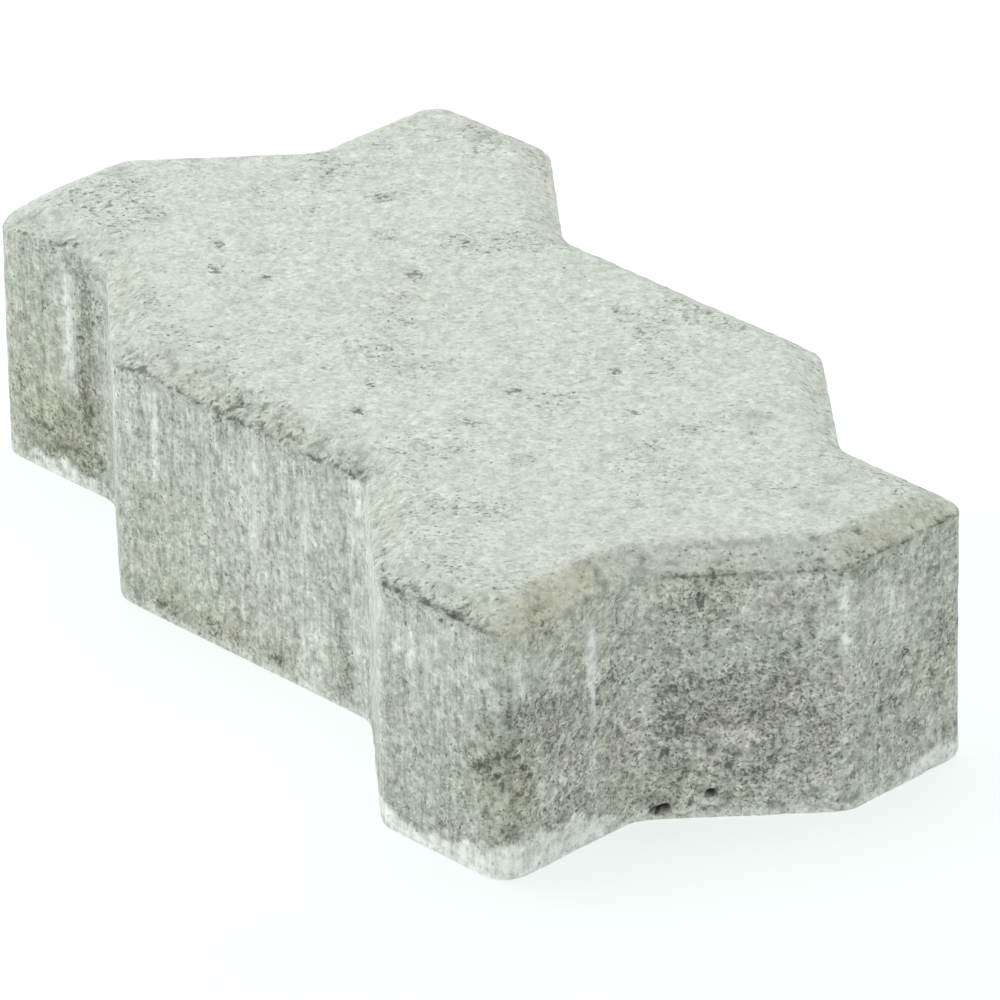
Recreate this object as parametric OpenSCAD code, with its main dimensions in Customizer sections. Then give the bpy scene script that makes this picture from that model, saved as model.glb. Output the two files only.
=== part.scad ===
// Interlocking concrete paving stone, cast in one piece.
// Every unit of its edge bends in and then out again by the same amount, so
// that stones laid side by side or end to end lock together.
// The stone lies flat on its bed face, long axis along X, with its origin at
// the centre of that face.

/* [Laying pattern] */
// Length of one unit of the zigzag edge, which is also the width of the pattern
unit_length = 112.5; // [90:0.5:140]
// Number of units along the long side
units_long = 2; // [1:1:3]
// Width of the sanded joint between two laid stones
joint_width = 3; // [1:0.5:6]

/* [Zigzag edge] */
// Distance along the edge from the end of a unit to its nearest bend
bend_distance = 37; // [28:0.5:40]
// How far a bend swings in or out of the straight edge
bend_swing = 9.5; // [6:0.1:13]
// Radius of the outward corners of the sides
outward_radius = 6; // [2:0.5:10]
// Radius of the inward corners of the sides
inward_radius = 7; // [2:0.5:12]

/* [Body] */
// Height of the stone from its bed face to its tread
stone_height = 60; // [40:1:100]

/* [Bevel around the tread] */
// Width of the bevel, seen from above
bevel_width = 7.5; // [3:0.5:10]
// Drop of the bevel, from the tread to the top of the sides
bevel_drop = 4.4; // [1:0.1:12]
// Radius of the outward corners of the tread
tread_outward_radius = 4; // [1:0.5:8]
// Radius of the inward corners of the tread
tread_inward_radius = 12; // [2:0.5:16]

/* [Smoothness] */
// Number of flats that round off each corner
corner_flats = 6; // [3:1:12]

/* [Hidden] */
stone_colour = [0.72, 0.74, 0.70];
side_height = stone_height - bevel_drop;
half_length = units_long * unit_length / 2;
half_width = unit_length / 2;

function next(i, list) = list[(i + 1) % len(list)];
function previous(i, list) = list[(i + len(list) - 1) % len(list)];
function right_of(v) = [v.y, -v.x] / norm(v);

// Outward normals of the edges that arrive at a corner and leave it.
function normal_before(i, list) = right_of(list[i] - previous(i, list));
function normal_after(i, list) = right_of(next(i, list) - list[i]);

// Step from a corner to the point one millimetre inside both its edges.
function inward_step(i, list) =
    let (before = normal_before(i, list), after = normal_after(i, list))
    -(before + after) / (1 + before * after);

// Corners along one side of the pattern: each unit bends in first, then out.
function side(start, along, units) = [
    for (k = [0:units - 1])
    for (bend = [[0, 0], [bend_distance, -bend_swing], [unit_length - bend_distance, bend_swing]])
    if (k == 0 || bend.x > 0)
    start + (k * unit_length + bend.x) * along + bend.y * right_of(along)
];

pattern = concat(
    side([-half_length, -half_width], [1, 0], units_long),
    side([half_length, -half_width], [0, 1], 1),
    side([half_length, half_width], [-1, 0], units_long),
    side([-half_length, half_width], [0, -1], 1)
);

// A closed outline with each edge moved in by the same depth.
function inset(list, depth) = [for (i = [0:len(list) - 1]) list[i] + depth * inward_step(i, list)];

// Turn of an outline at a corner: above zero where the corner points outward.
function turn(i, list) =
    let (before = normal_before(i, list), after = normal_after(i, list))
    atan2(before.x * after.y - before.y * after.x, before * after);

// A closed outline with an arc of flats in place of each sharp corner. The
// radius counts as below zero at an inward corner, whose centre lies outside.
function rounded(list, outward, inward) = [
    for (i = [0:len(list) - 1])
    let (
        bend = turn(i, list),
        radius = bend > 0 ? outward : -inward,
        centre = list[i] + radius * inward_step(i, list),
        normal = normal_before(i, list),
        start = atan2(normal.y, normal.x)
    )
    for (k = [0:corner_flats])
    let (angle = start + bend * k / corner_flats)
    centre + radius * [cos(angle), sin(angle)]
];

// The stone is the pattern moved in by half a joint, and its tread lies
// inside that by the width of the bevel.
stone_corners = inset(pattern, joint_width / 2);
side_outline = rounded(stone_corners, outward_radius, inward_radius);
tread_outline = rounded(inset(stone_corners, bevel_width), tread_outward_radius, tread_inward_radius);

function at_height(points, z) = [for (p = points) [p.x, p.y, z]];

// The ring of three-cornered section that slopes from the sides to the tread.
module bevel_ring() {
    rings = [
        at_height(side_outline, side_height),
        at_height(tread_outline, stone_height),
        at_height(tread_outline, side_height)
    ];
    count = len(rings[0]);
    polyhedron(
        points = [for (ring = rings) each ring],
        faces = [
            for (r = [0:2])
            for (k = [0:count - 1])
            let (upper = (r + 1) % 3 * count, lower = r * count, after = (k + 1) % count)
            [lower + k, upper + k, upper + after, lower + after]
        ]
    );
}

module paving_stone() {
    color(stone_colour)
    union() {
        linear_extrude(height = side_height) polygon(side_outline);
        linear_extrude(height = stone_height) polygon(tread_outline);
        bevel_ring();
    }
}

paving_stone();
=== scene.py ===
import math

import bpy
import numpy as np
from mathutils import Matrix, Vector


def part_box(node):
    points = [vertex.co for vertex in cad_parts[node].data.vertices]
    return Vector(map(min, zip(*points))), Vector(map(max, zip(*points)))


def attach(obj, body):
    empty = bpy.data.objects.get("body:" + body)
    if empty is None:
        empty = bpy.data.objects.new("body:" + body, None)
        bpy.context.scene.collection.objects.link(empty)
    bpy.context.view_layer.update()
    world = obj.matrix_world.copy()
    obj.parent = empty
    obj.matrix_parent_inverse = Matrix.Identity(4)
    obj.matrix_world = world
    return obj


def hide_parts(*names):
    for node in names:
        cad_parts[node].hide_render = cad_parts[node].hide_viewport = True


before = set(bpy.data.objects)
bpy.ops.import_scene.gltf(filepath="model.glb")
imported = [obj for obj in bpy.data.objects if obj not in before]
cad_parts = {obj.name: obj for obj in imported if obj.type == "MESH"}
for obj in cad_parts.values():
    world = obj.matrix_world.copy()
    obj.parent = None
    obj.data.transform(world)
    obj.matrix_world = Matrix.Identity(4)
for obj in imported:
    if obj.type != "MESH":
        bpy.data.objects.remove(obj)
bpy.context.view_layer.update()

# %% [markdown]
# # A pressed concrete paving stone
#
# This lesson gives a weathered skin to one interlocking paving stone. The stone
# is pressed from damp, gravelly concrete in a steel mould. A shoe stamps the top
# and leaves the bevel, and then the stone is pushed out downwards, which drags
# fine upright scratches into its sides.
#
# The plain solid is loaded above as a fixed frame. Its box is measured at once,
# because the finished stone has to stay inside it.

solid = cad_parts["paving_stone"]
MM = 0.001                                   # one millimetre, in metres
stone_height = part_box("paving_stone")[1].z / MM

# %% [markdown]
# ## The outlines of the solid
#
# The solid has three level outlines: the foot and the shoulder of its upright
# side, which are alike, and the smaller outline of the tread inside the bevel.
# They could be drawn again from their corners, but then the skin and the solid
# could drift apart. So they are read from the solid's own corner points, which
# are sorted by their direction from the middle, since the shape hides no part of
# its edge from there.

# %% Read the outlines
corner_points = np.empty(len(solid.data.vertices) * 3)
solid.data.vertices.foreach_get("co", corner_points)
corner_points = np.unique(np.round(corner_points.reshape(-1, 3) / MM, 3), axis=0)
levels = np.unique(np.round(corner_points[:, 2], 1))
shoulder_height = float(levels[1])


def outline_at(level):
    """The points of one level, in order round the middle, as x and y in mm."""
    ring = corner_points[np.abs(corner_points[:, 2] - level) < 0.1][:, :2]
    return ring[np.argsort(np.arctan2(ring[:, 1], ring[:, 0]))]


side_corners = outline_at(levels[0])
tread_corners = outline_at(levels[-1])
bevel_drop = stone_height - shoulder_height
print("levels, mm:", levels, " points:", len(side_corners), len(tread_corners))

# %% [markdown]
# ## Places round the edge
#
# Every mark on the stone needs an address. Its place round the edge is a
# station: whole numbers are the middles of the sixteen rounded corners, counted
# against the clock from the far left one, and 3.5 is halfway from corner 3 to
# corner 4. Its height is in millimetres above the bed.

# %% Walk round the outline in even steps
STEPS_ROUND = 740                  # about one step for each millimetre

edge = np.roll(side_corners, -1, axis=0) - side_corners
edge_length = np.hypot(edge[:, 0], edge[:, 1])
travelled = np.concatenate([[0], np.cumsum(edge_length)])
perimeter = travelled[-1]
# A corner is a run of short flats, so the long edges between them are the straights.
straights = np.flatnonzero(edge_length > 4 * np.median(edge_length))
arc_starts = np.roll(travelled[straights + 1], 1) % perimeter
arc_starts[0] -= perimeter * (arc_starts[0] > arc_starts[1])
corner_places = (arc_starts + travelled[straights]) / 2

walk = np.arange(STEPS_ROUND) * perimeter / STEPS_ROUND
print("round the edge, mm:", round(float(perimeter), 1), " corners:", len(corner_places))


# %% Rings at the even steps
def round_ring(points, rounding=2):
    """The outline at the even steps, with its small flats averaged into curves.

    Both outlines have the same number of points, so a share of the way round the
    side outline is read as the same share of the points in either of them.
    """
    knots = np.arange(len(points) + 1)
    share = np.interp(walk, travelled, knots)
    closed = np.vstack([points, points[:1]])
    ring = np.stack([np.interp(share, knots, closed[:, i]) for i in (0, 1)], axis=1)
    shifts = range(-rounding, rounding + 1)
    return sum(np.roll(ring, shift, axis=0) for shift in shifts) / len(shifts)


side_ring = round_ring(side_corners)
tread_ring = round_ring(tread_corners)
ahead = np.roll(side_ring, -1, axis=0) - np.roll(side_ring, 1, axis=0)
inward = np.stack([-ahead[:, 1], ahead[:, 0]], axis=1) / np.hypot(*ahead.T)[:, None]
print("ring of the side:", side_ring.shape, " ring of the tread:", tread_ring.shape)


# %% Find places by their station
def smooth_step(low, high, values):
    """0 below low, 1 above high, and an S-curve 3t^2 - 2t^3 between them."""
    t = np.clip((values - low) / (high - low), 0, 1)
    return t * t * (3 - 2 * t)


def place_of(station):
    """How far round the edge a station is, in mm."""
    corners = np.arange(len(corner_places) + 1)
    return np.interp(station, corners, np.append(corner_places, corner_places[0] + perimeter))


def along(station):
    """How far each step round the edge is from a station, in mm, the shorter way."""
    gap = walk - place_of(station)
    return (gap + perimeter / 2) % perimeter - perimeter / 2


def stretch(start, end, soft=3.0):
    """1 from one station to another round the edge, fading to 0 over soft mm.

    It is 1 minus a smooth step of the distance from the middle of the stretch.
    """
    half = (place_of(end) - place_of(start)) / 2
    middle = (place_of(end) + place_of(start)) / 2
    gap = np.abs((walk - middle + perimeter / 2) % perimeter - perimeter / 2)
    return 1 - smooth_step(half - soft / 2, half + soft / 2, gap)


def profile(base, runs):
    """A value for each step round the edge: base, plus the rise of every run there.

    A run is its start station, its end station, its softness in mm and its rise.
    """
    values = base
    for start, end, soft, rise_there in runs:
        values = values + rise_there * stretch(start, end, soft)
    return values


print("station 3.5 is", round(float(place_of(3.5)), 1), "mm round the edge")

# %% [markdown]
# ## The section
#
# One sheet of faces wraps the whole stone. It starts on the middle of the bed,
# runs out to the foot, climbs the side, turns over the shoulder, crosses the
# bevel and ends on the middle of the tread. Each row of the sheet is a ring, and
# a row is described by how far it has marched inwards and how high it is.
# Averaging that path over a short length gives the soft shoulder and the soft
# edge of the tread that a worn stone has. The rows stand close together where
# the relief is finest, which is by the foot and over the bevel.

# %% Lay out the rows
BEVEL_WIDTH = 7.5                  # seen from above, in mm
SPINE_REACH = 58.0                 # from the tread's edge to the middle, in mm
SPINE_HALF = (56.0, 0.5)           # half length and half width of the middle seam, in mm
FOOT_STEP, WALL_STEP, BEVEL_STEP, TREAD_STEP = 0.75, 1.3, 0.62, 1.14   # between rows, in mm
SHOULDER_ROUNDING = 1.8            # length that the path is averaged over, in mm
PATH_STEP = 0.1                    # between the points of the path, in mm
BED_ROWS = 8
FOOT_ROWS = ((0.25, 0), (0.05, 0.25), (0, 0.8))  # how far in and how high, round the foot

path_steps = np.arange(0, shoulder_height + BEVEL_WIDTH + SPINE_REACH + 2, PATH_STEP)
bevel_slope = math.hypot(BEVEL_WIDTH, bevel_drop)
tread_edge = shoulder_height + bevel_slope
path_end = tread_edge + SPINE_REACH
path_knots = [0, shoulder_height, tread_edge, path_end]
march_knots = [0, 0, BEVEL_WIDTH, BEVEL_WIDTH + SPINE_REACH]
height_knots = [0, shoulder_height, stone_height, stone_height]


def softened(knots):
    """The path's values at each of its points, averaged over the rounding length."""
    raw = np.interp(path_steps, path_knots, knots)
    width = int(SHOULDER_ROUNDING / PATH_STEP) | 1
    padded = np.pad(raw, width // 2, mode="edge")
    return np.convolve(padded, np.ones(width) / width, mode="valid")


soft_march, soft_height = softened(march_knots), softened(height_knots)
foot_march, foot_height = np.transpose(FOOT_ROWS)
top_rows = np.concatenate([
    foot_height,
    np.arange(1.5, 9, FOOT_STEP),
    np.arange(9.3, shoulder_height - 2, WALL_STEP),
    np.arange(shoulder_height - 1.6, tread_edge + 1, BEVEL_STEP),
    np.arange(tread_edge + 1.4, path_end, TREAD_STEP),
    [path_end],
])
march = np.interp(top_rows, path_steps, soft_march)
height = np.interp(top_rows, path_steps, soft_height)
march[: len(FOOT_ROWS)], height[: len(FOOT_ROWS)] = foot_march, foot_height
# The bed's rows crowd a little towards the foot.
bed_share = np.linspace(1, 0, BED_ROWS, endpoint=False) ** 0.8
print("rows:", BED_ROWS, "on the bed,", len(top_rows), "above it")

# %% Wrap the sheet round the outline
angle = np.linspace(0, 2 * np.pi, STEPS_ROUND, endpoint=False) - np.pi
spine = np.stack([SPINE_HALF[0] * np.cos(angle), SPINE_HALF[1] * np.sin(angle)], axis=1)


def between(first, second, share):
    """Rings that go from one ring to another; share is one number for each row."""
    share = np.asarray(share)[:, None, None]
    return first[None] * (1 - share) + second[None] * share


over_bevel = np.clip(march / BEVEL_WIDTH, 0, 1)
over_tread = np.clip((march - BEVEL_WIDTH) / SPINE_REACH, 0, 1)
flat_top = between(side_ring, tread_ring, over_bevel)
flat_top += (spine - tread_ring)[None] * over_tread[:, None, None]
flat_bed = between(side_ring, spine, bed_share)
plan = np.concatenate([flat_bed, flat_top])
rise = np.concatenate([np.zeros(BED_ROWS), height])
path = np.concatenate([-bed_share * SPINE_REACH, top_rows])
rows = len(path)
skin = np.empty((rows, STEPS_ROUND, 3))
skin[..., :2] = plan
skin[..., 2] = rise[:, None]
print("sheet:", rows, "x", STEPS_ROUND, "points")

# %% Find the way into the stone
# Each row has one way into the stone, as a share inwards and a share upwards. It
# is square to the path, and the rows of the bed and of the foot have it set.
turn_march = np.gradient(np.concatenate([-bed_share * SPINE_REACH, march]))
turn_rise = np.gradient(rise)
turn_march[:BED_ROWS] = -1
turn_rise[:BED_ROWS] = 0
turn_march[BED_ROWS: BED_ROWS + len(FOOT_ROWS)] = 0
turn_rise[BED_ROWS: BED_ROWS + len(FOOT_ROWS)] = 1
turn_size = np.hypot(turn_march, turn_rise)
into_in, into_up = turn_rise / turn_size, -turn_march / turn_size
print("into the tread: inwards", round(float(into_in[-1]), 2),
      "upwards", round(float(into_up[-1]), 2))

# %% [markdown]
# ## Roughness from numbers
#
# Concrete is rough at every size. Smooth noise gives its soft unevenness: random
# heights at the corners of a lattice of cubes, blended between them. Pits come
# from a second pattern: one ball in some of the cubes, each a little off its
# middle, and the skin is dented wherever a ball cuts it. Both use a fixed seed,
# so that the stone is the same each time: the last whole number that is given
# to a noise is its seed.

# %% Smooth noise
shuffle = np.random.default_rng(61).permutation(4096)


def lattice(cell, seed):
    """A repeatable random number from 0 to 1 for each whole-number cell."""
    mixed = shuffle[(cell[..., 0] + seed * 131) % 4096]
    mixed = shuffle[(mixed + cell[..., 1] * 7) % 4096]
    mixed = shuffle[(mixed + cell[..., 2] * 13) % 4096]
    return mixed / 4095.0


def smooth_noise(points, size, seed):
    """Noise from -1 to 1 whose bumps are size mm across.

    The eight lattice corners round a point are blended by 3t^2 - 2t^3 of its
    place in the cell. size may be three numbers, for bumps longer one way.
    """
    scaled = points / np.asarray(size, float)
    cell = np.floor(scaled).astype(np.int64)
    part = scaled - cell
    part = part * part * (3 - 2 * part)
    total = 0
    for corner in np.ndindex(2, 2, 2):
        weight = np.prod(np.where(corner, part, 1 - part), axis=-1)
        total = total + weight * lattice(cell + np.array(corner), seed)
    return total * 2 - 1


def rough_noise(points, size, seed, layers=3):
    """Noise of several sizes added up, each half the size and strength of the last."""
    total = sum(smooth_noise(points, np.asarray(size) / 2 ** i, seed + i) / 2 ** i
                for i in range(layers))
    return total / (2 - 0.5 ** (layers - 1))


print("noise ready; a first value:", round(float(smooth_noise(skin[60, 0], 5, 1)), 3))


# %% Pits
def pits(points, size, share, seed):
    """How deep each point lies in a round pit, from 0 to 1.

    A share of the cubes, size mm wide, hold one ball. Its radius is 0.2 to 0.5
    of the cube, and the depth is 1 - (distance / radius)^2 inside the ball.
    """
    scaled = points / size
    cell = np.floor(scaled).astype(np.int64)
    deepest = np.zeros(points.shape[:-1])
    for step in np.ndindex(3, 3, 3):
        near = cell + np.array(step) - 1
        middle = near + 0.25 + 0.5 * np.stack(
            [lattice(near, seed + i) for i in range(3)], axis=-1)
        chance = lattice(near, seed + 3)
        radius = 0.2 + 0.3 * lattice(near, seed + 4)
        gap = np.sum((scaled - middle) ** 2, axis=-1) / radius ** 2
        deepest = np.maximum(deepest, np.where(chance < share, 1 - gap, 0))
    return deepest


print("pits ready; deepest on one row:", round(float(pits(skin[60], 9.5, 0.12, 61).max()), 2))

# %% [markdown]
# ## Zones of the skin
#
# Each zone is a number from 0 to 1 for every point of the sheet. Flank is the
# upright side, and bevel and tread follow above it. Ledge is the ragged line
# where the press shoe met the mould, and fin is the thin rim of cement that was
# squeezed out under the mould's foot. The zones guide both the shape and the
# colour, so that a hollow and the painted shade on its floor always fall on the
# same place.

# %% Side, bevel and tread
CROSS_STARTS = (2, 4, 10, 12)      # the stations where the short cross faces start

path_grid = path[:, None]
wander = smooth_noise(skin, (9, 9, 200), 5)
cross_faces = sum(stretch(start, start + 1, 6) for start in CROSS_STARTS)
back_faces = stretch(9.3, 14.8, 12)
end_face = stretch(6.2, 9.0, 12)
flank = smooth_step(-0.5, 0.5, path_grid) * (
    1 - smooth_step(shoulder_height - 2, shoulder_height + 1.5, path_grid))
flank = flank * np.ones(STEPS_ROUND)
bevel = smooth_step(shoulder_height - 1, shoulder_height + 1, path_grid) * (
    1 - smooth_step(tread_edge - 3, tread_edge + 3, path_grid + 1.5 * wander))
tread = smooth_step(tread_edge - 2, tread_edge + 2, path_grid) * np.ones(STEPS_ROUND)
print("share of the points on the side, bevel and tread:",
      [round(float(zone.mean()), 2) for zone in (flank, bevel, tread)])

# %% The ledge under the bevel
ledge_place = shoulder_height + 0.4 + 2.0 * cross_faces + 1.0 * wander
ledge_width = profile(0.85, ((7.05, 9.0, 16, -0.18), (7.9, 9.0, 8, -0.22)))
ledge = np.exp(-((path_grid - ledge_place) / ledge_width) ** 2)
ledge_fringe = np.exp(-((path_grid - ledge_place - 0.8) / 3.4) ** 2)
fringe_share = profile(1, ((7.05, 9.0, 16, -0.6),))
print("share of ledge points:", round(float((ledge > 0.5).mean()), 3))

# %% The fin of cement along the foot
FIN_BASE_HEIGHT = 4.2              # in mm, before its rises and its noise
FIN_RISES = (             # start, end, softness in mm, rise in mm
    (5.6, 6.72, 14, 2.0), (5.92, 6.74, 6, 2.0), (1.0, 2.0, 8, -1.2), (5.24, 5.42, 6, -1.6),
    (8.1, 8.52, 8, -1.4), (4.0, 4.9, 5, -1.8), (5.58, 5.86, 5, -1.3),
)
FIN_RUNS = (              # start, end, softness in mm, strength
    (1.25, 1.88, 4, 1.0), (4.45, 4.95, 4, 0.4), (4.9, 6.85, 8, 1.0), (8.38, 9.3, 12, 1.0),
    (10.4, 12.1, 8, 1.0), (13.6, 15.2, 8, 1.0),
)
fin_height = (profile(FIN_BASE_HEIGHT, FIN_RISES)
              + 1.6 * smooth_noise(skin * (1, 1, 0), 13, 8)
              + 1.6 * smooth_noise(skin * (1, 1, 0), 3.0, 9))
fin_reach = np.clip(profile(0, FIN_RUNS), 0, 1)
fin = fin_reach * smooth_step(-0.5, 0.5, path_grid) * (
    1 - smooth_step(fin_height - 0.6, fin_height + 0.6, path_grid))
fin_seam = np.exp(-((path_grid - 1.8 - 0.5 * wander) / 0.45) ** 2)
foot_line = smooth_step(-0.5, 0.1, path_grid) * (1 - smooth_step(1.2, 2.6, path_grid))
print("share of the edge with a fin:", round(float((fin_reach > 0.5).mean()), 2))

# %% [markdown]
# ## Shape of the skin
#
# All the roughness pushes into the stone, never out of it, so the skin keeps
# inside the plain solid. The upright sides stand a hair behind the fin at the
# foot. The drag marks are noise that is stretched upright. The ledge is a row of
# torn hollows, deeper in some places than in others. Every kind of relief is
# worked out on its own first, and then they are added up to one depth.

# %% Noise for the relief
unevenness = 0.5 + 0.5 * rough_noise(skin, 26, 21)
grain = 0.5 + 0.5 * rough_noise(skin, 3.4, 31, layers=2)
drag = 0.5 + 0.5 * smooth_noise(skin, (2.2, 2.2, 34), 41)
tear = rough_noise(skin, 4.2, 51, layers=3)
fine_tear = rough_noise(skin, 2.6, 55, layers=2)
speckle = rough_noise(skin, 1.7, 59, layers=1)
hollows = smooth_step(0.22, 0.75, tear)
small_hollows = smooth_step(0.30, 0.80, fine_tear)
large_pits = pits(skin, 9.5, 0.12, 61) * (0.6 + 0.4 * small_hollows)
print("share of the points in a hollow:", round(float((hollows > 0.5).mean()), 3))

# %% Dents in the tread
TREAD_DENTS = (           # x, y, half width, half height in mm, strength
    (-56, -29, 1.9, 1.5, 0.9), (-47, -21, 1.7, 1.4, 0.7), (-4, -31, 1.3, 1.2, 0.8),
    (7, -27, 1.3, 1.3, 0.9), (16, -35, 1.5, 1.3, 1.0), (-66, -23, 2.8, 1.4, 0.6),
    (28, 19, 1.7, 1.5, 0.8), (25, -3, 2.0, 2.0, 0.7), (32, -18, 3.0, 2.4, 0.5),
    (-32, 6, 3.0, 2.2, 0.7), (-24, -2, 3.4, 2.4, 0.4), (-14, -6, 2.6, 2.2, 0.3),
    (66, 29, 1.8, 1.8, 0.5), (46, 13, 1.6, 1.4, 0.6), (81, -6, 3.0, 1.8, 0.5),
    (-51, 9, 3.6, 3.0, 0.4), (-68, 18, 2.6, 2.5, 0.4), (-70, 2, 3.5, 2.2, 0.3),
    (-74, -41, 2.2, 1.6, 0.6), (42, -25, 2.4, 4.4, 0.4), (-40, 22, 4.0, 2.6, 0.3),
    (4, 34, 3.6, 2.4, 0.3), (60, 8, 2.5, 3.2, 0.4), (-90, 30, 2.8, 2.4, 0.4),
    (-84, -4, 5.0, 3.0, 0.25), (50, -40, 4.0, 3.0, 0.3), (88, 20, 4.0, 4.0, 0.3),
)
tread_clusters = smooth_step(-0.1, 0.5, rough_noise(skin, 17, 71, layers=2))
tread_pits = smooth_step(0.1, 0.7, pits(skin, 2.7, 0.14, 65) + 0.25 * speckle)
tread_pits = tread_pits * tread * tread_clusters
dented = np.zeros_like(tread_pits)
for dent_x, dent_y, half_wide, half_high, strength in TREAD_DENTS:
    gap_x, gap_y = (skin[..., 0] - dent_x) / half_wide, (skin[..., 1] - dent_y) / half_high
    dented = np.maximum(dented, strength * np.exp(-(gap_x ** 2 + gap_y ** 2)) * tread)
tread_pits = np.maximum(tread_pits, dented ** 2 * smooth_step(-0.3, 0.3, speckle + fine_tear))
print("dents:", len(TREAD_DENTS), " share of pitted tread:",
      round(float((tread_pits > 0.5).sum() / (tread > 0.5).sum()), 3))

# %% Tears along the ledge
LEDGE_TEARS = (           # station, half width in mm, strength
    (1.45, 4, 0.40), (1.62, 4, 0.30), (1.98, 3, 0.15), (3.05, 3, 0.35), (3.13, 3, 0.40),
    (3.26, 3, 0.40), (3.33, 2, 0.45), (3.43, 3, 0.75), (3.50, 3, 0.70), (3.63, 3, 0.55),
    (3.82, 3, 0.45), (3.88, 2, 0.25), (3.96, 3, 0.40), (4.55, 3, 0.35), (4.75, 3, 0.45),
    (4.92, 3, 0.40), (5.08, 3, 0.50), (5.21, 5, 1.00), (5.46, 4, 0.45), (5.60, 3, 0.35),
    (5.74, 4, 0.30), (5.88, 3, 0.30), (7.14, 4, 0.30), (7.28, 5, 0.55), (7.45, 4, 0.40),
    (7.62, 3, 0.30), (7.80, 4, 0.55), (7.94, 3, 0.40), (8.12, 5, 0.40), (8.30, 4, 0.28),
    (8.48, 4, 0.45), (8.64, 4, 0.35), (8.80, 3, 0.40), (8.92, 3, 0.40), (9.4, 4, 0.50),
    (9.75, 3, 0.40), (11.15, 5, 0.60), (11.45, 4, 0.70), (11.8, 4, 0.50), (13.2, 4, 0.60),
    (13.55, 5, 0.80), (13.85, 3, 0.50), (14.4, 4, 0.40), (15.4, 5, 0.40),
)
LEDGE_RUNS = (            # start, end, softness in mm, rise in strength
    (3.0, 4.0, 3, 0.15), (5.0, 6.0, 3, 0.20), (8.05, 9.0, 3, 0.06), (9.2, 15.8, 3, 0.26),
)
ledge_strength = (profile(0.13, LEDGE_RUNS) - 0.16 * cross_faces
                  + 0.26 * smooth_noise(skin[0] * (1, 1, 0), 9, 81))
ledge_strength = ledge_strength + sum(
    strength * np.exp(-(along(station) / half_wide) ** 2)
    for station, half_wide, strength in LEDGE_TEARS)
ledge_strength = np.clip(ledge_strength + 0.05 * stretch(3.05, 3.95, 6), 0.04, 1)
torn = ledge * ledge_strength * smooth_step(-0.30, 0.45, speckle + 0.5 * tear)
torn_fringe = 0.8 * fringe_share * ledge_fringe * ledge_strength
torn = np.maximum(torn, torn_fringe * smooth_step(0.25, 0.8, speckle + 0.4 * tear))
print("tears:", len(LEDGE_TEARS), " strongest:", round(float(torn.max()), 2))

# %% Holes, scar and nicks
HOLES = (                 # station, height, half width, half height in mm
    (7.10, 2.1, 1.5, 0.6), (7.13, 2.5, 1.2, 0.5), (7.345, 5.6, 1.2, 0.9),
    (7.31, 4.9, 0.7, 0.4),
)
SCAR = (                  # station, height, half width, half height in mm
    (5.78, 24.0, 1.1, 1.0), (5.83, 25.4, 1.3, 0.8), (5.89, 26.8, 1.4, 0.8),
    (5.96, 28.0, 1.5, 0.8), (6.03, 28.2, 1.5, 0.8), (6.09, 27.0, 1.1, 0.9),
    (6.14, 25.0, 0.9, 1.1), (6.19, 22.4, 0.8, 1.2), (5.89, 24.6, 1.2, 0.7),
    (5.95, 23.4, 1.0, 0.8), (6.00, 21.6, 0.8, 1.0),
)
NICKS = (                 # station, height, half width, half height in mm
    (7.45, 33.0, 1.3, 1.0), (7.40, 31.0, 0.9, 0.9), (7.18, 30.0, 1.2, 1.0),
    (7.15, 24.0, 1.1, 1.1), (7.20, 20.5, 1.0, 1.3), (7.14, 15.5, 1.2, 1.3),
    (7.32, 24.0, 1.2, 1.0), (8.28, 19.0, 1.3, 1.2), (8.46, 30.5, 1.3, 1.1),
    (8.88, 28.0, 1.6, 1.6), (3.47, 10.3, 1.2, 1.0), (3.26, 16.3, 1.5, 1.4),
    (3.63, 3.4, 2.2, 1.1), (3.17, 3.4, 1.8, 1.0), (1.76, 36.0, 1.2, 1.2),
    (1.42, 10.5, 2.6, 1.1), (1.56, 57.2, 1.6, 0.9), (6.62, 13.0, 1.0, 0.9),
    (7.43, 12.3, 1.3, 1.0), (7.255, 3.9, 0.8, 1.3), (7.32, 2.0, 2.0, 0.6),
    (7.29, 5.5, 1.3, 0.5), (3.53, 61.5, 1.2, 0.7), (3.46, 59.6, 1.1, 0.7),
    (3.56, 57.6, 1.6, 0.8), (3.72, 57.8, 1.4, 0.7), (8.25, 62.6, 1.3, 0.8),
    (8.20, 52.0, 1.0, 0.8), (7.30, 50.0, 1.0, 1.0),
)


def dug(listed, fraying):
    """How deep each point lies in a list of ragged oval marks, from 0 to 1.

    Inside a mark it is 1.3 minus the squared distance in half widths, plus the
    fraying times the fine noise, and the deepest mark counts.
    """
    deepest = np.zeros_like(flank)
    for station, middle, half_wide, half_high in listed:
        across = (along(station)[None] / half_wide) ** 2 + (
            (path_grid - middle) / half_high) ** 2
        deepest = np.maximum(deepest, np.clip(1.3 - across + fraying * fine_tear, 0, 1))
    return deepest * smooth_step(0, 1, path_grid)


holes = dug(HOLES, 1.0)
nicks = dug(NICKS, 0.9)
scar = dug(SCAR, 0.5)
print("holes:", len(HOLES), " marks in the scar:", len(SCAR), " nicks:", len(NICKS))

# %% Add up the depth
TORN_DEPTH, TREAD_PIT_DEPTH = 0.8, 0.6           # at full strength, in mm
HOLE_DEPTH, NICK_DEPTH = 2.6, 0.7

on_bed = 1 - smooth_step(-2, 0, path_grid)
worn_bevel = bevel * (1 - 0.65 * cross_faces) * (1 - 0.4 * back_faces)


def by_zone(on_side, on_bevel, on_tread):
    """The sum of each zone's share times the depth given for that zone, in mm."""
    return on_side * flank + on_bevel * worn_bevel + on_tread * tread


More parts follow.
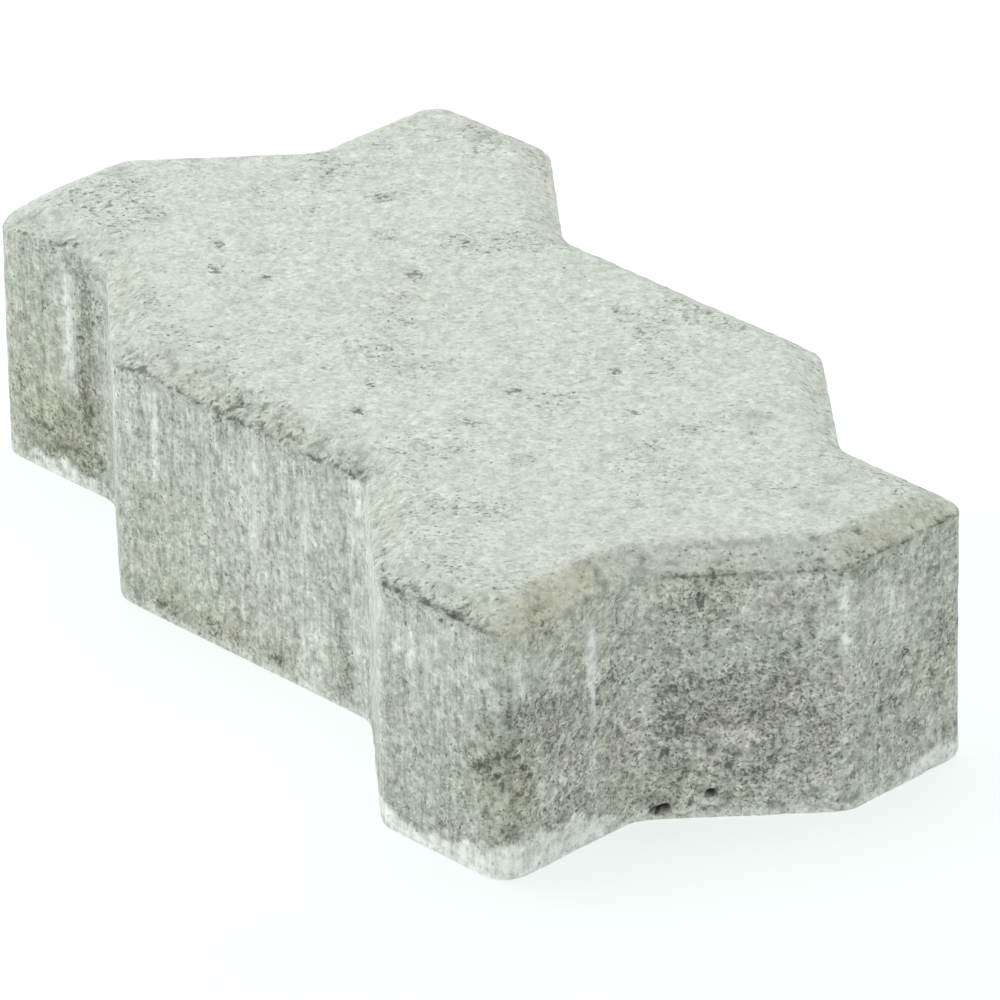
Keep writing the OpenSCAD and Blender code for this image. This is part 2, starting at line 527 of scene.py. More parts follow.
depth = 0.03 + 0.20 * unevenness + 0.20 * grain
depth = depth + flank * (0.14 * (1 - fin) + 0.16 * drag + 0.25 * end_face * grain)
depth = depth + small_hollows * by_zone(0.25 + 0.45 * end_face, 0.45, 0.20)
depth = depth + hollows * by_zone(0.30, 0.50, 0.18)
depth = depth + large_pits * by_zone(0.35, 0.6, 0.25)
depth = depth + TORN_DEPTH * torn + TREAD_PIT_DEPTH * tread_pits
depth = depth * (1 - 0.35 * tread) + on_bed * 0.4 * grain
depth = depth + HOLE_DEPTH * holes + NICK_DEPTH * np.maximum(nicks, scar)
print("depth of the skin, mm: mean", round(float(depth.mean()), 2),
      "most", round(float(depth.max()), 2))

# %% Push the points in
WORN_DROP = 1.7                    # how far the worn corner has sunk, in mm

skin[..., :2] += (depth * into_in[:, None])[..., None] * inward[None]
skin[..., 2] += depth * into_up[:, None]

# The far left corner is worn from under the shoulder to well inside the tread.
worn_corner = np.exp(-(along(1.0)[None] / 9.0) ** 2) * smooth_step(
    shoulder_height - 14, shoulder_height + 3, path_grid)
worn_corner = worn_corner * (1 - smooth_step(tread_edge + 4, tread_edge + 22, path_grid))
skin[..., 2] -= WORN_DROP * worn_corner * (0.8 + 0.3 * grain)

# The foot stays on the ground: the skin's lowest point is moved back to the bed.
skin[..., 2] = np.clip(skin[..., 2], 0, stone_height)
skin[:BED_ROWS, :, 2] *= smooth_step(0, 5, bed_share * SPINE_REACH)[:, None]
print("height of the skin, mm: from", round(float(skin[..., 2].min()), 2),
      "to", round(float(skin[..., 2].max()), 2))

# %% [markdown]
# ## Stains, streaks and painted light
#
# The colour of the stone has a history. Rain and soil browned the lower sides,
# the bevel took an ochre tint, and lime bled out as pale upright streaks. Some of
# the pale and the dark is painted light and shade: pale at the foot, on two cross
# faces, on the far cross bevels and low on the end, and one painted shadow under
# the ledge. Each mark has an address and a size, and noise frays its edge. Above
# the shoulder the height goes on along the bevel, so 60 is halfway over the
# bevel. The sums are stored on the points of the mesh, where the material can
# read them.

# %% Ways to draw a mark
fray = rough_noise(skin, (6, 6, 9), 91)
fleck = rough_noise(skin, 2.4, 95, layers=2)


def patch(station, middle, half_wide, half_high):
    """A soft round patch: e to the minus squared distance, with a frayed edge."""
    across = (along(station)[None] / half_wide) ** 2 + (
        (path_grid - middle) / half_high) ** 2
    return np.clip(np.exp(-across * (1 + 0.5 * fray)) * (1 + 0.9 * fray + 0.4 * fleck), 0, 1)


def patches(listed):
    """The patches of a list of marks added up, each times its own strength."""
    return sum(strength * patch(*mark) for *mark, strength in listed)


def streak(station, top, bottom, half_wide):
    """A pale upright line between two heights that thins out downwards.

    It is e to the minus squared distance over its width, times a smooth step up
    from its bottom and a short one down at its top.
    """
    width = half_wide * (1 + 0.35 * smooth_noise(skin, (40, 40, 5), 97))
    line = np.exp(-(along(station)[None] / width) ** 2)
    fade = smooth_step(bottom - 6, bottom + 8, path_grid) * (
        1 - smooth_step(top - 1.5, top + 1.0, path_grid))
    return line * fade * flank


print("fraying from", round(float(fray.min()), 2), "to", round(float(fray.max()), 2))

# %% Pale lime, and painted light
PALE_STREAKS = (          # station, top, bottom, half width in mm, strength
    (1.64, 51, 22, 1.4, 1.20), (3.165, 54, 30, 1.5, 0.75), (3.56, 54, 22, 1.2, 0.45),
    (3.77, 54, 6, 1.3, 0.45), (3.955, 55, 1, 2.2, 0.65), (3.975, 55, 42, 1.8, 0.50),
    (5.28, 50, 40, 1.2, 0.45), (6.11, 51, 43, 1.3, 0.90), (6.68, 50, 34, 1.3, 1.60),
    (6.685, 50, 42, 1.1, 0.80), (6.69, 34, 10, 1.1, 0.60), (7.03, 32, 20, 1.8, 0.55),
    (7.99, 52, 36, 1.2, 1.00), (7.99, 41, 36, 1.4, 0.60), (9.4, 50, 25, 1.2, 0.6),
    (10.3, 48, 20, 1.2, 0.5), (11.2, 52, 30, 1.4, 0.5), (11.8, 50, 15, 1.1, 0.6),
    (13.35, 50, 28, 1.2, 0.6), (14.2, 46, 20, 1.1, 0.6), (15.6, 50, 30, 1.2, 0.6),
)
PALE_SPOTS = (            # station, height, half width, half height in mm, strength
    (7.315, 3.8, 1.9, 1.2, 1.10), (3.62, 40, 20, 14, 0.15), (7.77, 53.5, 1.6, 1.6, 0.70),
    (7.42, 33, 1.5, 1.8, 0.35), (7.62, 46, 9, 6, 0.10), (8.22, 43, 11, 10, 0.22),
    (5.3, 47, 12, 6, 0.20), (6.35, 46, 9, 6, 0.15), (3.78, 9, 5, 9, 0.50),
    (3.26, 21, 7, 5, 0.25), (5.32, 11, 12, 6, 0.12), (5.10, 45, 4, 6, 0.30),
    (3.67, 16, 5, 8, 0.20),
)
pale = sum(strength * streak(*mark) for *mark, strength in PALE_STREAKS)
pale = pale * (0.80 + 0.5 * fray)
pale = pale + patches(PALE_SPOTS) * flank
fin_pale = 1.3 * fin * (0.85 + 0.25 * fleck) * (1 - 0.20 * stretch(1.0, 2.0, 6))
fin_pale = fin_pale * (1 - 0.30 * fin_seam)
# Painted light: the pale band along the foot is partly the pale rim of cement and partly light
# painted over the contact shadow, most of all on the end.
foot_lime_and_painted_light = foot_line * profile(0.30, ((7.0, 8.3, 10, 0.22), (4.0, 4.4, 4, -0.25)))
pale = pale + np.maximum(fin_pale, foot_lime_and_painted_light)
# Partly lime, partly painted light: the cross faces from 2 to 3 and from 4 to 5 are paled for
# the light of the side lamp that they face.
pale = pale + flank * (
    0.20 * stretch(4.0, 5.0, 4) * (0.1 + 0.9 * smooth_step(4, 40, path_grid))
    + 0.08 * stretch(2.0, 3.0, 4))
# Painted light: the far cross bevels, turned away from the lamps, are paled.
pale = pale + 0.20 * bevel * (stretch(10, 11, 6) + stretch(12, 13, 6))
# Painted light: the lower end face is paled for the light that the table throws back onto it.
pale = pale + 0.15 * end_face * flank * (1 - smooth_step(14, 44, path_grid))
pale = pale + 0.10 * flank * smooth_step(20, 50, path_grid)
pale_share = np.clip(pale, 0, 1)
print("streaks:", len(PALE_STREAKS), " mean lime:", round(float(pale_share.mean()), 3))

# %% Brown soil, and one painted shadow under the ledge
STAINS_AND_LEDGE_SHADE = (                # station, height, half width, half height in mm, strength
    (1.40, 28, 18, 40, 0.24), (1.79, 28, 3.0, 30, 0.55), (1.45, 9, 18, 6, 0.22),
    (1.50, 55, 7, 4, 0.20), (3.18, 3.5, 4, 2.5, 0.50), (3.37, 3.5, 9, 3, 0.40),
    (3.64, 4, 3.5, 2.5, 0.50), (3.91, 7, 3, 6, 0.45), (3.08, 28, 6, 14, 0.12),
    # The mark at station 4.80, height 55, is a painted shadow under the ledge on the cross face
    # from 4 to 5.
    (3.47, 52, 8, 3, 0.25), (5.12, 22, 8, 14, 0.10), (4.80, 55, 8, 2.0, 0.42),
    (1.85, 42, 4, 8, 0.20), (2.5, 12, 30, 12, 0.20), (1.55, 9, 12, 4, 0.15),
    (5.96, 25, 8, 5, 0.45), (5.70, 14, 12, 8, 0.25), (5.82, 30, 4, 4, 0.40),
    (5.93, 36, 5, 7, 0.35), (6.08, 20, 6, 6, 0.10), (6.82, 9, 4, 8, 0.25),
    (6.32, 35, 7, 5, 0.40), (6.50, 30, 14, 9, 0.15), (6.88, 14, 5, 14, 0.30),
    (6.66, 36, 5, 4, 0.20), (7.17, 22, 4.5, 10, 0.50), (7.10, 4, 4, 3, 0.40),
    (7.30, 18, 7, 8, 0.30), (7.42, 5, 6, 4, 0.30), (7.45, 30, 5, 5, 0.35),
    (7.64, 18, 10, 10, 0.45), (7.74, 34, 9, 14, 0.34), (8.28, 20, 6, 8, 0.30),
    (8.60, 14, 14, 9, 0.10), (8.30, 31, 6, 5, 0.15), (8.85, 30, 4, 8, 0.20),
    (4.20, 2.5, 6, 4.5, 0.55), (4.62, 8, 12, 5, 0.28), (10.6, 14, 18, 10, 0.45),
    (12.5, 12, 20, 10, 0.4), (13.6, 16, 16, 12, 0.5), (15.3, 14, 18, 10, 0.4),
)
stained_and_ledge_shade = patches(STAINS_AND_LEDGE_SHADE) * flank
stained_and_ledge_shade = stained_and_ledge_shade + bevel * (0.7 + 0.6 * fleck) * (
    0.10 + 0.16 * (stretch(2, 3, 6) + stretch(4, 5, 6)) + 0.10 * stretch(15, 15.99, 6))
soil_line = np.exp(-((path_grid - fin_height - 2) / 4) ** 2)
stained_and_ledge_shade = stained_and_ledge_shade + 0.26 * flank * fin_reach * soil_line * (0.8 + 0.6 * fray)
print("stains:", len(STAINS_AND_LEDGE_SHADE), " mean soil:", round(float(np.clip(stained_and_ledge_shade, 0, 1).mean()), 3))

# %% Ochre tint
OCHRE = (                 # station, height, half width, half height in mm, strength
    (1.45, 14, 17, 18, 0.75), (1.30, 40, 10, 14, 0.35), (3.35, 5, 22, 7, 0.65),
    (3.22, 24, 16, 16, 0.40), (7.30, 51, 12, 5, 0.55), (3.75, 8, 10, 10, 0.60),
    (3.30, 59, 12, 4, 0.40), (3.62, 59, 9, 4, 0.40), (4.5, 60, 14, 4, 0.25),
    (2.3, 60, 12, 4, 0.30), (5.93, 22, 9, 12, 0.75), (6.20, 54, 9, 9, 0.70),
    (6.55, 61, 9, 4, 0.50), (6.62, 48, 7, 12, 0.55), (6.72, 20, 7, 18, 0.45),
    (6.20, 18, 6, 12, 0.50), (7.20, 7, 14, 6, 0.70), (8.10, 34, 7, 10, 0.30),
    (8.70, 22, 12, 12, 0.45), (8.55, 60, 14, 5, 0.35), (10.5, 8, 20, 8, 0.6),
    (12.4, 8, 24, 8, 0.6), (14.4, 40, 14, 20, 0.4),
)
BAND_RUNS = (             # start, end, softness in mm, rise in strength
    (5.6, 7.1, 16, 0.26), (7.1, 8.0, 16, 0.14), (8.0, 9.1, 16, 0.26), (9.3, 15.6, 16, 0.14),
)
tinted_band = smooth_step(shoulder_height - 3, shoulder_height + 1, path_grid) * (
    1 - smooth_step(tread_edge - 6, tread_edge + 9, path_grid + 4 * fray))
ochre = patches(OCHRE) + 0.20 * end_face * flank
ochre = ochre + tinted_band * profile(0.14, BAND_RUNS) * (1 + 0.8 * fray)
warm_spot = ((skin[..., 0] + 27) / 13) ** 2 + ((skin[..., 1] - 1) / 9) ** 2
ochre = ochre + 0.30 * tread * np.exp(-warm_spot * (1 + 0.5 * fray))
print("tints:", len(OCHRE), " mean ochre:", round(float(np.clip(ochre, 0, 1).mean()), 3))

# %% Rugged and pitted places, with painted shade in pits and hollows
SPECKLED = (              # station, height, half width, half height in mm, strength
    (3.50, 61.0, 8, 3.5, 0.80), (3.32, 60.0, 6, 2.5, 0.35), (3.68, 60.0, 6, 2.5, 0.35),
    (6.03, 35.5, 7, 6, 0.70), (6.13, 20.0, 5, 6, 0.70), (5.88, 12.5, 9, 5, 0.45),
    (5.50, 9.5, 8, 4, 0.30), (5.30, 22.0, 8, 8, 0.20), (6.90, 50.0, 5, 5, 0.35),
    (7.15, 50.0, 5, 4, 0.45), (7.33, 50.0, 7, 4, 0.60), (7.18, 20.0, 4, 8, 0.60),
    (7.48, 31.5, 4, 5, 0.65), (7.66, 20.0, 8, 8, 0.45), (7.46, 11.0, 5, 3, 0.40),
    (8.41, 19.0, 4, 4, 0.45), (8.83, 28.0, 3, 5, 0.40), (8.32, 35.0, 6, 3, 0.40),
    (3.17, 3.5, 4, 2.5, 0.60), (3.37, 3.5, 9, 2.5, 0.40), (1.50, 55.0, 9, 3, 0.40),
    (1.80, 30.0, 3, 20, 0.30), (1.45, 9.0, 8, 4, 0.40), (1.85, 8.0, 5, 5, 0.50),
    (10.5, 10.0, 20, 8, 0.40), (12.5, 10.0, 20, 8, 0.40), (14.4, 12.0, 14, 8, 0.40),
)
MOST_PITTED = 0.58        # where stains and patches overlap, the pits don't close up
rugged = end_face * flank * (1.1 - 0.6 * smooth_step(24, 50, path_grid))
rugged = rugged * (1 - 0.5 * patch(8.3, 42, 12, 10)) * (1 - 0.40 * stretch(8.0, 9.3, 8))
speckled = patches(SPECKLED)
pitting_and_pit_shade = (0.16 * flank + 0.20 * rugged + 0.12 * bevel + 0.40 * np.clip(stained_and_ledge_shade, 0, 1)
          + tread * (0.10 + 0.36 * tread_clusters) + 0.42 * speckled
          + (0.25 * fray + 0.20 * fleck) * (flank + bevel))
# Painted shade: the ledge, the tread's dents, the nicks and the scar crowd the dark specks,
# which stand for shade in their small pits; the rest is the grain's own specks.
pitting_and_pit_shade = np.clip(pitting_and_pit_shade, 0, MOST_PITTED) + (
    np.maximum(1.3 * ledge, 0.50 * fringe_share * ledge_fringe) * ledge_strength
    + 1.2 * dented + 0.5 * nicks + 0.8 * scar)
# Painted shade: the floors of tears, pits, dents, holes, nicks and the scar are darkened where
# shade falls in them.
painted_hollow_shade = np.clip(
    0.50 * torn + small_hollows * (0.35 * worn_bevel + 0.30 * end_face * flank + 0.12)
    + hollows * (0.22 * worn_bevel + 0.15 * flank + 0.06) + 0.3 * large_pits
    + 0.35 * tread_pits + 0.12 * nicks + 0.40 * scar + 1.4 * holes, 0, 1)
coarse = (rugged + 0.08 * bevel
          - 0.30 * flank * (1 - end_face) * smooth_step(15, 48, path_grid)
          + 0.60 * np.clip(speckled, 0, 1))
print("speckled patches:", len(SPECKLED), " mean hollow:", round(float(painted_hollow_shade.mean()), 3))

# %% Gather the marks
# Lime and the light painted with it cover what lies under them, so they thin the soil, the
# ochre and the pits.
marks = {
    "flank": flank,
    "coarse": coarse,
    "pale": pale_share,
    "stained_and_ledge_shade": np.clip(stained_and_ledge_shade * (1 - 0.7 * pale_share), 0, 1),
    "ochre": np.clip(ochre * (1 - 0.6 * pale_share), 0, 1),
    "painted_hollow_shade": painted_hollow_shade,
    "pitting_and_pit_shade": np.clip(pitting_and_pit_shade * (1 - 0.8 * pale_share), 0, 1),
}
print({name: round(float(values.mean()), 3) for name, values in marks.items()})

# %% [markdown]
# ## The mesh
#
# The sheet is closed round the stone, and its two ends are zipped shut along
# the middle of the bed and of the tread, where point k faces point n - k. That
# makes one watertight skin of four-sided faces.

# %% Build the skin
def sheet_faces(row_count, around):
    """Four corner numbers for each face of a sheet whose ends meet."""
    row, step = np.meshgrid(np.arange(row_count - 1), np.arange(around), indexing="ij")
    here, after = row * around + step, row * around + (step + 1) % around
    faces = np.stack([here, after, after + around, here + around], axis=-1)
    return faces.reshape(-1, 4)


def zip_faces(first_point, around, turned):
    """Faces that close a flat ring, from each point k to its partner n - k."""
    k, far = np.arange(1, around // 2 - 1), around // 2
    faces = np.stack([k, k + 1, around - k - 1, around - k], axis=-1) + first_point
    tips = np.array([[0, 1, around - 1], [far - 1, far, far + 1]]) + first_point
    return (faces[:, ::-1], tips[:, ::-1]) if turned else (faces, tips)


bed_quads, bed_tips = zip_faces(0, STEPS_ROUND, turned=True)
top_quads, top_tips = zip_faces((rows - 1) * STEPS_ROUND, STEPS_ROUND, turned=False)
quads = np.concatenate([sheet_faces(rows, STEPS_ROUND), bed_quads, top_quads])
tips = np.concatenate([bed_tips, top_tips])

mesh = bpy.data.meshes.new("paving_stone_skin")
mesh.from_pydata((skin.reshape(-1, 3) * MM).tolist(), [], quads.tolist() + tips.tolist())
mesh.polygons.foreach_set("use_smooth", np.ones(len(mesh.polygons), bool))
for name, values in marks.items():
    layer = mesh.attributes.new(name, "FLOAT", "POINT")
    layer.data.foreach_set("value", values.astype(np.float32).ravel())
mesh.update()
mesh.set_sharp_from_angle(angle=math.radians(55))
stone = bpy.data.objects.new("stone", mesh)
bpy.context.scene.collection.objects.link(stone)
print("faces:", len(mesh.polygons), " triangles:", 2 * len(quads) + len(tips))

# %% [markdown]
# ## The concrete
#
# Concrete is matt, and its colour is a crowd of grains: grey-green cement, pale
# sand and dark specks. Each grain is a cell of a Voronoi pattern with its own
# random brightness, and two sizes of cell with a noise on top make the crowd.
# The marks from the mesh then shift the mix: soil and ochre tint it, with one
# painted shadow among the soil, and lime and painted light pale it. Pitted places
# draw the dark specks together, partly as painted shade in the ledge, dents,
# nicks and scar, and hollows get painted shade on their floors. The same grains,
# scratches and specks feed a fine bump, so that the light finds them too. The
# material reads only the piece's own object coordinates and point marks, so it
# stays put when the stone is moved.

# %% Start the material
concrete = bpy.data.materials.new("concrete")
concrete.use_nodes = True
nodes, links = concrete.node_tree.nodes, concrete.node_tree.links
shader = nodes["Principled BSDF"]
coordinates = nodes.new("ShaderNodeTexCoord").outputs["Object"]
print("material:", concrete.name)


# %% Arithmetic on values
def plug(value, socket):
    """Links a socket, or sets a plain value."""
    if isinstance(value, bpy.types.NodeSocket):
        links.new(value, socket)
    else:
        socket.default_value = value


def math_node(operation, first, second, clamp=False):
    """One step of arithmetic on two values; clamp keeps the result from 0 to 1."""
    node = nodes.new("ShaderNodeMath")
    node.operation, node.use_clamp = operation, clamp
    plug(first, node.inputs[0])
    plug(second, node.inputs[1])
    return node.outputs[0]


def added(first, *others):
    """All the values added up."""
    for other in others:
        first = math_node("ADD", first, other)
    return first


def times(first, second):
    """The product of two values."""
    return math_node("MULTIPLY", first, second)


def less(first, second):
    """The first value minus the second."""
    return math_node("SUBTRACT", first, second)


def larger(first, second):
    """The larger of two values."""
    return math_node("MAXIMUM", first, second)


print("material nodes so far:", len(nodes))


# %% Ranges, mixtures and marks
def scaled(values, low, high, new_low=0.0, new_high=1.0):
    """Stretches the range low to high of a value to a new one, and clips it."""
    node = nodes.new("ShaderNodeMapRange")
    for socket, value in zip(node.inputs, (values, low, high, new_low, new_high)):
        plug(value, socket)
    return node.outputs[0]


def mix(share, first, second, mode="MIX"):
    """A share of the second colour over the first."""
    node = nodes.new("ShaderNodeMix")
    node.data_type, node.blend_type = "RGBA", mode
    plug(share, node.inputs["Factor"])
    plug(first, node.inputs[6])
    plug(second, node.inputs[7])
    return node.outputs[2]


def mark(name):
    """The number stored under a name on the points of the mesh."""
    node = nodes.new("ShaderNodeAttribute")
    node.attribute_name = name
    return node.outputs["Fac"]


print("marks on the mesh:", [layer.name for layer in mesh.attributes if layer.name in marks])


# %% Patterns for the material
def squashed(squash):
    """Object coordinates, each axis times its squash, so 0.1 draws a pattern out tenfold."""
    mapping = nodes.new("ShaderNodeMapping")
    mapping.inputs["Scale"].default_value = squash
    links.new(coordinates, mapping.inputs["Vector"])
    return mapping.outputs["Vector"]


def turned(length, turn):
    """Object coordinates turned by turn degrees and drawn out length times along that way."""
    mapping = nodes.new("ShaderNodeMapping")
    mapping.vector_type = "TEXTURE"
    mapping.inputs["Rotation"].default_value = (0, 0, math.radians(turn))
    mapping.inputs["Scale"].default_value = (length, 1, 1)
    links.new(coordinates, mapping.inputs["Vector"])
    return mapping.outputs["Vector"]


def noise(size, detail=2.0, roughness=0.65, points=None):
    """Noise whose bumps are about size mm across, at the points or everywhere alike."""
    node = nodes.new("ShaderNodeTexNoise")
    node.inputs["Scale"].default_value = 1 / (size * MM)
    node.inputs["Detail"].default_value = detail
    node.inputs["Roughness"].default_value = roughness
    links.new(points or coordinates, node.inputs["Vector"])
    return node.outputs["Fac"]


def grains(size, points=None):
    """A crowd of grains size mm wide, each with its own random brightness from 0 to 1."""
    node = nodes.new("ShaderNodeTexVoronoi")
    node.inputs["Scale"].default_value = 1 / (size * MM)
    links.new(points or coordinates, node.inputs["Vector"])
    return node.outputs["Color"]


print("pattern helpers ready")

# %% Cement, soil, ochre and lime, with painted light and shade
# Each colour is its red, green and blue from 0 to 1, and a last 1 for solid.
TREAD_CEMENT = (0.626, 0.700, 0.628, 1)
SIDE_CEMENT = (0.546, 0.600, 0.522, 1)
PINKISH_CEMENT = (0.605, 0.578, 0.548, 1)
PINKISH_TREAD = (0.640, 0.655, 0.620, 1)
# The lime is set very light, so that the fin in the end's shade shows as bright as light thrown
# back onto it would make it: partly lime, partly painted light.
PALE_LIME_AND_PAINTED_LIGHT = (0.900, 0.925, 0.865, 1)
# The brown soil colour also paints that one shadow under the ledge.
BROWN_SOIL_AND_LEDGE_SHADE = (0.200, 0.190, 0.125, 1)
OCHRE_TINT = (0.590, 0.588, 0.448, 1)

flank_mark, coarse_mark, pale_mark = mark("flank"), mark("coarse"), mark("pale")
grit = noise(1.9, 5.0)
broad = noise(17.0, 3.0)
blotch = scaled(noise(4.6, 2.0), 0.40, 0.60, 0.0, 0.60)

colour = mix(flank_mark, TREAD_CEMENT, SIDE_CEMENT)
blotch_share = added(times(flank_mark, 0.28), times(coarse_mark, 0.68))
pinkish = added(scaled(broad, 0.42, 0.60, 0.0, 0.50), times(coarse_mark, 0.12))
pinkish = math_node("ADD", pinkish, times(blotch, blotch_share), clamp=True)
colour = mix(pinkish, colour, mix(flank_mark, PINKISH_TREAD, PINKISH_CEMENT))
colour = mix(times(mark("ochre"), scaled(grit, 0.3, 0.6, 0.5, 1.0)), colour, OCHRE_TINT)
colour = mix(times(mark("stained_and_ledge_shade"), scaled(grit, 0.62, 0.38, 0.35, 1.0)), colour, BROWN_SOIL_AND_LEDGE_SHADE)
# Lime, and painted light at the foot, on two cross faces, on the far cross bevels and low on
# the end.
colour = mix(pale_mark, colour, PALE_LIME_AND_PAINTED_LIGHT)
print("material nodes so far:", len(nodes))

# %% The crowd of grains
# It makes every colour lighter and darker by turns, most of all on the rough end.
SAND, GRAVEL, DRAGGED = 0.62, 1.15, 0.60         # grain sizes in mm

crowd = added(times(grains(SAND), 0.48), times(grains(GRAVEL), 0.42), times(grit, 0.60), -0.75)
contrast = added(0.58, times(flank_mark, 0.38), times(coarse_mark, 0.50))
contrast = times(contrast, less(1.0, times(pale_mark, 0.60)))

dragged = grains(DRAGGED, squashed((1, 1, 0.16)))
upright = noise(1.0, 3.0, points=squashed((1, 1, 0.06)))
bands = noise(3.4, 2.0, points=squashed((1, 1, 0.05)))
drawn = added(times(dragged, 0.6), times(upright, 0.8), bands)
drawn = times(less(drawn, 1.20), less(times(flank_mark, 0.50), times(coarse_mark, 0.34)))

mottle = times(less(noise(2.8, 2.5), 0.5), added(0.45, times(flank_mark, 0.65)))
brightness = added(times(crowd, contrast), added(drawn, mottle))
colour = mix(1.0, colour, added(1.0, brightness), mode="MULTIPLY")
print("material nodes so far:", len(nodes))

# %% Dark specks and dashes, with painted shade in pits and hollows
# Dark grains, also used as painted shade in small pits.
DARK_GRAIN_AND_PIT_SHADE = (0.130, 0.145, 0.115, 1)
# The colour of the painted shade in hollows.
PAINTED_HOLLOW_SHADE = (0.060, 0.068, 0.050, 1)
DASH_SIZE, DASH_LENGTH, DASH_TURN = 1.15, 1.7, 61    # mm, times the size, degrees

# Pitted places crowd the dark specks: the grain's own, and painted shade in the ledge, dents,
# nicks and scar.
crowding = times(mark("pitting_and_pit_shade"), 0.26)
small_spots = scaled(added(noise(0.62, 1.5, 0.5), crowding), 0.68, 0.80)
small_spots = times(small_spots, added(0.45, times(flank_mark, 0.55)))
large_spots = scaled(added(noise(1.30, 2.5, 0.5), crowding), 0.705, 0.80)
dashes = noise(DASH_SIZE, 1.5, 0.5, turned(DASH_LENGTH, DASH_TURN))
tread_dashes = scaled(added(dashes, crowding), 0.68, 0.83)
tread_dashes = times(tread_dashes, times(less(1.0, flank_mark), 0.82))
specks = times(larger(larger(small_spots, large_spots), tread_dashes), 0.80)
colour = mix(specks, colour, DARK_GRAIN_AND_PIT_SHADE)
# Painted shade on the floors of the hollows, tears, pits and holes.
colour = mix(mark("painted_hollow_shade"), colour, PAINTED_HOLLOW_SHADE)
links.new(colour, shader.inputs["Base Color"])
print("material nodes so far:", len(nodes))

# %% Roughness and fine relief
BUMP_STRENGTH, BUMP_HEIGHT = 0.45, 0.40 * MM
DULLNESS = (0.82, 0.98)            # the least and the most roughness

relief = less(added(crowd, drawn), specks)
bump = nodes.new("ShaderNodeBump")
bump.inputs["Strength"].default_value = BUMP_STRENGTH
bump.inputs["Distance"].default_value = BUMP_HEIGHT
links.new(relief, bump.inputs["Height"])
links.new(bump.outputs["Normal"], shader.inputs["Normal"])
links.new(scaled(grit, 0.3, 0.7, *DULLNESS), shader.inputs["Roughness"])
shader.inputs["Specular IOR Level"].default_value = 0.25
mesh.materials.append(concrete)
print("material nodes:", len(nodes))

# %% [markdown]
# ## In its place
#
# The skin now stands for the plain solid. It rides on the stone's only body, it
# hides the solid, which stays behind for touch and weight, and it takes the
# finish called concrete.

# %% Put the stone in its place
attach(stone, "root")
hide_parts("paving_stone")
print("the skin of", stone.name, "stands for the plain solid")

# %% [markdown]
# ## Floor and light
#
# The stone lies on a plain pale table that glows a little, as a lit studio sheet
# does. A large soft lamp high above gives the tread its light. Three weaker ones
# stand at the left and on either side, and a pale sky fills the rest, so the end
# of the stone falls gently into shade.

# %% Floor
FLOOR_SIZE = 30.0                  # in metres
FLOOR_LEVEL = -0.0002              # in metres, a hair under the stone's bed

half = FLOOR_SIZE / 2
floor_mesh = bpy.data.meshes.new("floor")
floor_mesh.from_pydata([(x, y, FLOOR_LEVEL) for x, y in (
    (-half, -half), (half, -half), (half, half), (-half, half))], [], [(0, 1, 2, 3)])
floor = bpy.data.objects.new("floor", floor_mesh)
bpy.context.scene.collection.objects.link(floor)
floor_paint = bpy.data.materials.new("pale_table")
floor_paint.use_nodes = True
paint = floor_paint.node_tree.nodes["Principled BSDF"]
paint.inputs["Base Color"].default_value = (0.31, 0.36, 0.36, 1)
paint.inputs["Roughness"].default_value = 0.9
paint.inputs["Emission Color"].default_value = (0.965, 1.0, 0.99, 1)
paint.inputs["Emission Strength"].default_value = 0.70
floor_mesh.materials.append(floor_paint)
print("floor, m:", FLOOR_SIZE, "x", FLOOR_SIZE)

# %% Light
SKY_STRENGTH = 0.37
LAMPS = (                          # name, direction, distance in m, size in m, power in W
    ("key", (-0.16, 0.02, 0.70), 2.4, 2.2, 35.0),
    ("fill", (-0.30, -0.90, 0.35), 2.6, 2.2, 9.0),
    ("side", (-0.88, -0.42, 0.40), 2.6, 2.0, 19.0),
    ("back", (-0.30, 0.90, 0.45), 2.6, 2.0, 10.0),
)

world = bpy.data.worlds.new("studio")
world.use_nodes = True
sky = world.node_tree.nodes["Background"]
sky.inputs["Color"].default_value = (1.0, 1.0, 1.0, 1)
sky.inputs["Strength"].default_value = SKY_STRENGTH
bpy.context.scene.world = world


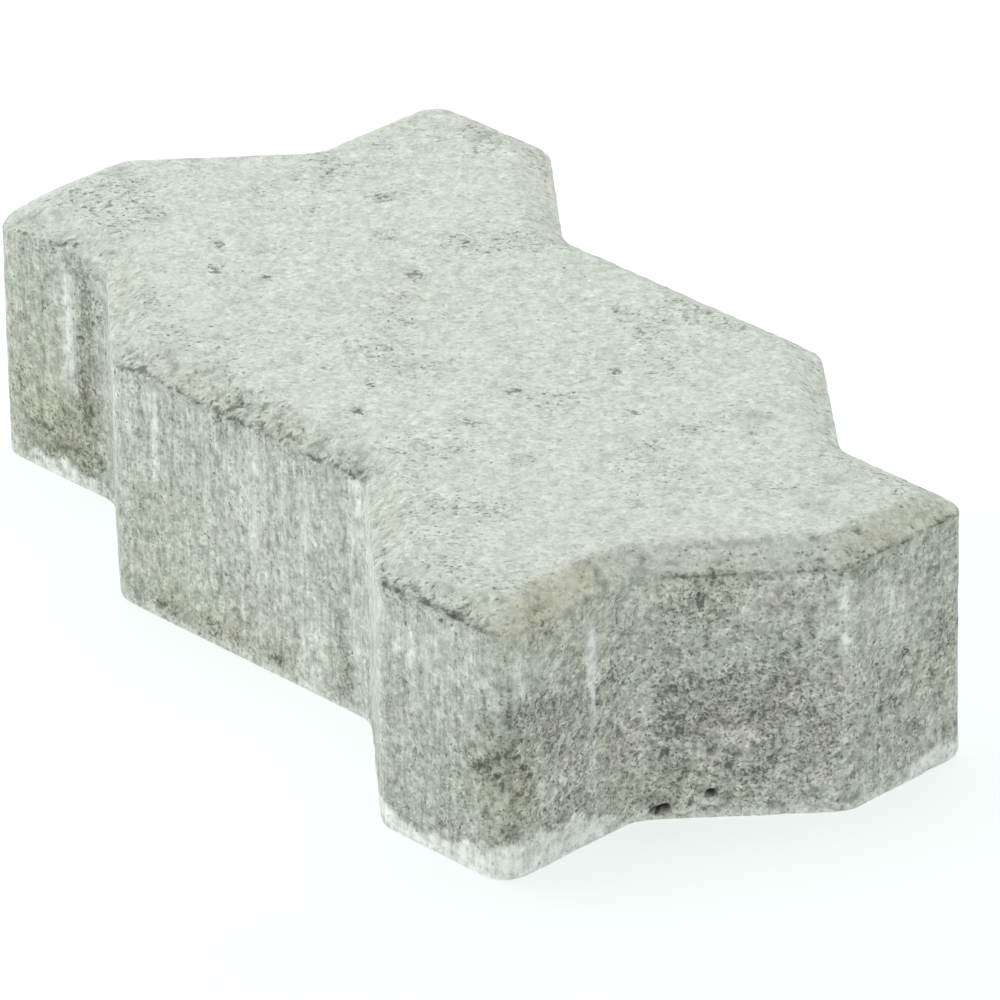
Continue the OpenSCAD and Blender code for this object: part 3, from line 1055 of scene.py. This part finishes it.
def placed(x_axis, y_axis, z_axis, place):
    """The rows of the matrix that turns and moves an object to these axes and place."""
    return np.vstack([np.stack([x_axis, y_axis, z_axis, place], axis=1), [0, 0, 0, 1]]).tolist()


def soft_lamp(name, direction, distance, size, power):
    """A square lamp that faces the stone from a direction."""
    data = bpy.data.lights.new(name, "AREA")
    data.size, data.energy = size, power
    lamp = bpy.data.objects.new(name, data)
    place = np.array(direction) / np.linalg.norm(direction) * distance
    z_axis = place / distance
    x_axis = np.cross((0, 0, 1), z_axis)
    x_axis /= np.linalg.norm(x_axis)
    y_axis = np.cross(z_axis, x_axis)
    lamp.matrix_world = Matrix(placed(x_axis, y_axis, z_axis, place))
    bpy.context.scene.collection.objects.link(lamp)


for lamp_values in LAMPS:
    soft_lamp(*lamp_values)
bpy.context.scene.view_settings.view_transform = "Standard"

# %% [markdown]
# ## Camera
#
# The stone is seen from its front right corner, from well above, through a long
# lens that keeps its edges nearly parallel. Its place is worked out from two
# angles round the stone and a distance, and a small roll tips the picture.

# %% Camera
AZIMUTH, ELEVATION, ROLL = (math.radians(a) for a in (60.672, 27.839, -0.937))
CAMERA_DISTANCE = 2.0999           # in metres
CAMERA_TARGET = np.array([0.015841, -0.001509, 0.030])
LENS, SENSOR_WIDTH = 364.55, 36    # in mm

back = np.array([math.sin(AZIMUTH) * math.cos(ELEVATION),
                 -math.cos(AZIMUTH) * math.cos(ELEVATION), math.sin(ELEVATION)])
level = np.array([math.cos(AZIMUTH), math.sin(AZIMUTH), 0])
upward = np.cross(back, level)
right = math.cos(ROLL) * level + math.sin(ROLL) * upward
up = -math.sin(ROLL) * level + math.cos(ROLL) * upward
eye = CAMERA_TARGET + CAMERA_DISTANCE * back
camera_data = bpy.data.cameras.new("camera")
camera_data.lens, camera_data.sensor_width = LENS, SENSOR_WIDTH
camera_data.clip_start, camera_data.clip_end = 0.1, 100
camera = bpy.data.objects.new("camera", camera_data)
camera.matrix_world = Matrix(placed(right, up, back, eye))
bpy.context.scene.collection.objects.link(camera)
bpy.context.scene.camera = camera
print("camera, m:", [round(float(v), 3) for v in eye])
